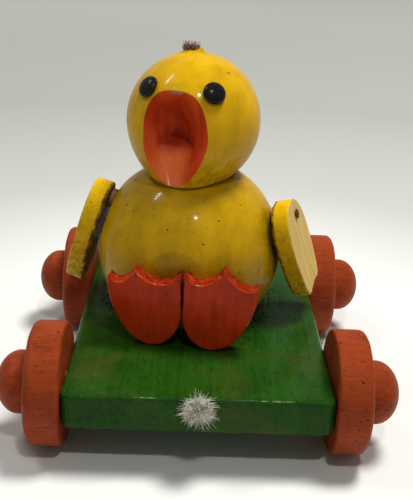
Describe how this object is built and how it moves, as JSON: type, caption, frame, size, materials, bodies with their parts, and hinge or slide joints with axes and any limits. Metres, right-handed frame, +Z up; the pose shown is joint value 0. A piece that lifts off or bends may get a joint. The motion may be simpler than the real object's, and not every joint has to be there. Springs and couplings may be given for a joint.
{
  "type": "pull-along duck toy",
  "caption": "Painted wooden pull-along duck with an open mouth, swinging wings and webbed feet, on a green board with spinning wheels.",
  "frame": {"origin": "on the floor under the middle of the whole toy's box", "axes": "+Z up, the duck looks along -Y, its left side is at +X, and the wheel axles lie along X"},
  "size_m": [0.1294, 0.1254, 0.1216],
  "materials": {
    "green_paint": "satin paint, worn",
    "wheel_red_paint": "satin stain paint, worn",
    "yellow_paint": "gloss paint, grubby",
    "wing_paint": "gloss paint, worn to tan",
    "foot_red_paint": "gloss paint",
    "black_enamel": "gloss enamel",
    "bare_wood": "bare",
    "steel": "dull",
    "rusty_steel": "rusted",
    "cotton": "frayed",
    "crest_fibre": "frayed, grubby"
  },
  "bodies": {
    "chassis": {"base_board": "green_paint", "front_axle": "bare_wood", "rear_axle": "bare_wood", "front_left_hub_cap": "wheel_red_paint", "front_right_hub_cap": "wheel_red_paint", "rear_left_hub_cap": "wheel_red_paint", "rear_right_hub_cap": "wheel_red_paint", "duck_body": "yellow_paint", "neck_dowel": "bare_wood", "left_wing_washer": "bare_wood", "right_wing_washer": "bare_wood", "left_wing_nail": "rusty_steel", "right_wing_nail": "rusty_steel", "left_foot": "foot_red_paint", "right_foot": "foot_red_paint", "left_foot_pin": "bare_wood", "right_foot_pin": "bare_wood", "body_screw": "steel", "pull_cord_stub": "cotton"},
    "front_left_wheel_body": {"front_left_wheel": "wheel_red_paint"},
    "front_right_wheel_body": {"front_right_wheel": "wheel_red_paint"},
    "rear_left_wheel_body": {"rear_left_wheel": "wheel_red_paint"},
    "rear_right_wheel_body": {"rear_right_wheel": "wheel_red_paint"},
    "head_body": {"head": "yellow_paint", "left_eye": "black_enamel", "right_eye": "black_enamel", "crest_stub": "crest_fibre"},
    "left_wing_body": {"left_wing": "wing_paint"},
    "right_wing_body": {"right_wing": "wing_paint"}
  },
  "joints": [
    {"name": "front_left_wheel_spin", "type": "hinge", "parent": "chassis", "child": "front_left_wheel_body", "pos_m": [0.0425, -0.03935, 0.02], "axis": [1, 0, 0], "continuous": true},
    {"name": "front_right_wheel_spin", "type": "hinge", "parent": "chassis", "child": "front_right_wheel_body", "pos_m": [-0.0425, -0.03935, 0.02], "axis": [1, 0, 0], "continuous": true},
    {"name": "rear_left_wheel_spin", "type": "hinge", "parent": "chassis", "child": "rear_left_wheel_body", "pos_m": [0.0425, 0.04265, 0.02], "axis": [1, 0, 0], "continuous": true},
    {"name": "rear_right_wheel_spin", "type": "hinge", "parent": "chassis", "child": "rear_right_wheel_body", "pos_m": [-0.0425, 0.04265, 0.02], "axis": [1, 0, 0], "continuous": true},
    {"name": "head_turn", "type": "hinge", "parent": "chassis", "child": "head_body", "pos_m": [-0.0044, 0.01165, 0.07695], "axis": [0, 0, 1], "continuous": true},
    {"name": "left_wing_swing", "type": "hinge", "parent": "chassis", "child": "left_wing_body", "pos_m": [0.02478, 0.0071, 0.06193], "axis": [0.8986, -0.3271, 0.2924], "range_deg": [-55, 110]},
    {"name": "right_wing_swing", "type": "hinge", "parent": "chassis", "child": "right_wing_body", "pos_m": [-0.03159, 0.01657, 0.0633], "axis": [-0.9458, 0.1414, 0.2924], "range_deg": [-8, 110]}
  ]
}
